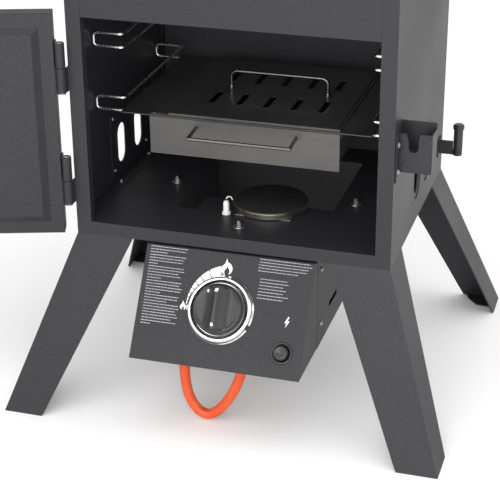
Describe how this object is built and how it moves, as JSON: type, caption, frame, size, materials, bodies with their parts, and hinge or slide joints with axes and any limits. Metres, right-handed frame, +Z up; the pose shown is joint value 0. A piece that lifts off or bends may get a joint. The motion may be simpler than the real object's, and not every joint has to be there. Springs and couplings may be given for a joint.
{
  "type": "vertical gas water smoker",
  "caption": "Tall two-door sheet-steel gas water smoker on splayed legs, doors open, with slide-in trays, racks, a chip box and a sloping control console.",
  "frame": {"origin": "on the floor under the cabinet's centre, midway between its side walls and between its front face and rear wall", "axes": "+Z up, the doors and console face -Y, +X to the right when facing the front"},
  "size_m": [0.9208, 0.5879, 1.125],
  "materials": {
    "black_plastic": "satin black moulded plastic",
    "brass": "machined brass",
    "brushed_stainless": "fine brushed stainless steel",
    "cast_black": "matt black heat-proof coating",
    "cast_zinc": "die-cast grey metal",
    "charcoal_enamel": "smooth satin charcoal powder coat",
    "chrome_trim": "polished chrome",
    "chrome_wire": "bright plated wire",
    "clear_glass": "clear glass",
    "dial_white": "matt white printed dial",
    "gloss_enamel": "glossy black porcelain enamel",
    "orange_hose": "semi-gloss orange rubber",
    "white_ceramic": "glazed white ceramic",
    "zinc_steel": "zinc-plated steel, dull"
  },
  "bodies": {
    "cabinet": {"base_pan": "charcoal_enamel", "left_wall": "charcoal_enamel", "right_wall": "charcoal_enamel", "rear_wall": "charcoal_enamel", "divider_bar": "charcoal_enamel", "top_panel": "charcoal_enamel", "leg_front_left": "charcoal_enamel", "leg_front_right": "charcoal_enamel", "leg_rear_left": "charcoal_enamel", "leg_rear_right": "charcoal_enamel", "leg_bolts": "zinc_steel", "floor_studs": "zinc_steel", "case_screws": "zinc_steel", "vent_plates": "charcoal_enamel", "lower_wire_guides": "chrome_wire", "upper_wire_guides": "chrome_wire", "lower_keeper": "charcoal_enamel", "upper_keeper": "charcoal_enamel", "side_hook": "charcoal_enamel", "hook_peg": "black_plastic", "cabinet_hinge_leaves": "charcoal_enamel", "hinge_pins": "zinc_steel", "console_box": "charcoal_enamel", "console_panel": "charcoal_enamel", "knob_bezel": "chrome_trim", "gas_valve": "brass", "igniter_body": "black_plastic", "burner_tube": "zinc_steel", "burner_bracket": "zinc_steel", "burner_base": "brushed_stainless", "burner_cap": "cast_black", "igniter_electrode": "white_ceramic", "hose_clip": "zinc_steel", "hose_fitting": "brass", "gas_hose": "orange_hose", "regulator_body": "cast_zinc", "regulator_nut": "brass"},
    "lower_door": {"lower_door_shell": "charcoal_enamel", "lower_door_liner": "charcoal_enamel", "lower_door_hinges": "charcoal_enamel", "lower_latch_mount": "charcoal_enamel"},
    "upper_door": {"upper_door_shell": "charcoal_enamel", "upper_door_liner": "charcoal_enamel", "upper_door_hinges": "charcoal_enamel", "upper_latch_mount": "charcoal_enamel", "thermometer_case": "brushed_stainless", "thermometer_dial": "dial_white", "thermometer_lens": "clear_glass"},
    "lower_latch": {"lower_latch_lever": "black_plastic"},
    "upper_latch": {"upper_latch_lever": "black_plastic"},
    "gas_knob": {"control_knob": "black_plastic"},
    "spark_button": {"igniter_button": "black_plastic"},
    "tray_carrier": {"carrier_tray": "gloss_enamel"},
    "chip_drawer": {"chip_box": "brushed_stainless"},
    "lid": {"chip_lid": "gloss_enamel", "lid_handle": "chrome_wire"},
    "pan": {"water_pan": "gloss_enamel"},
    "rack_low": {"lower_rack": "chrome_wire"},
    "rack_high": {"upper_rack": "chrome_wire"},
    "damper": {"top_damper": "charcoal_enamel"}
  },
  "joints": [
    {"name": "lower_door_hinge", "type": "hinge", "parent": "cabinet", "child": "lower_door", "pos_m": [-0.2066, -0.173, 0.373], "axis": [0, 0, 1], "range_deg": [-10, 162]},
    {"name": "upper_door_hinge", "type": "hinge", "parent": "cabinet", "child": "upper_door", "pos_m": [-0.2066, -0.173, 0.825], "axis": [0, 0, 1], "range_deg": [-10, 162]},
    {"name": "lower_latch_pivot", "type": "hinge", "parent": "lower_door", "child": "lower_latch", "pos_m": [-0.53959, -0.26332, 0.378], "axis": [0.309, -0.9511, 0], "range_deg": [0, 22]},
    {"name": "upper_latch_pivot", "type": "hinge", "parent": "upper_door", "child": "upper_latch", "pos_m": [-0.53959, -0.26332, 0.825], "axis": [0.309, -0.9511, 0], "range_deg": [0, 22]},
    {"name": "gas_knob_turn", "type": "hinge", "parent": "cabinet", "child": "gas_knob", "pos_m": [0, -0.20714, 0.16723], "axis": [0, -0.8339, 0.5519], "range_deg": [-90, 90]},
    {"name": "spark_button_press", "type": "slide", "parent": "cabinet", "child": "spark_button", "axis": [0, 0.8339, -0.5519], "range_m": [0, 0.005], "stiffness_N_per_m": 300},
    {"name": "tray_carrier_slide", "type": "slide", "parent": "cabinet", "child": "tray_carrier", "axis": [0, 1, 0], "range_m": [-0.18, 0]},
    {"name": "chip_drawer_slide", "type": "slide", "parent": "tray_carrier", "child": "chip_drawer", "axis": [0, 1, 0], "range_m": [-0.18, 0]},
    {"name": "lid_lift", "type": "slide", "parent": "tray_carrier", "child": "lid", "axis": [0, 0, 1], "range_m": [0, 0.06]},
    {"name": "water_pan_slide", "type": "slide", "parent": "cabinet", "child": "pan", "axis": [0, 1, 0], "range_m": [-0.2, 0]},
    {"name": "lower_rack_slide", "type": "slide", "parent": "cabinet", "child": "rack_low", "axis": [0, 1, 0], "range_m": [-0.2, 0]},
    {"name": "upper_rack_slide", "type": "slide", "parent": "cabinet", "child": "rack_high", "axis": [0, 1, 0], "range_m": [-0.2, 0]},
    {"name": "top_damper_turn", "type": "hinge", "parent": "cabinet", "child": "damper", "pos_m": [0, 0.024, 1.108], "axis": [0, 0, 1], "range_deg": [0, 30]}
  ]
}
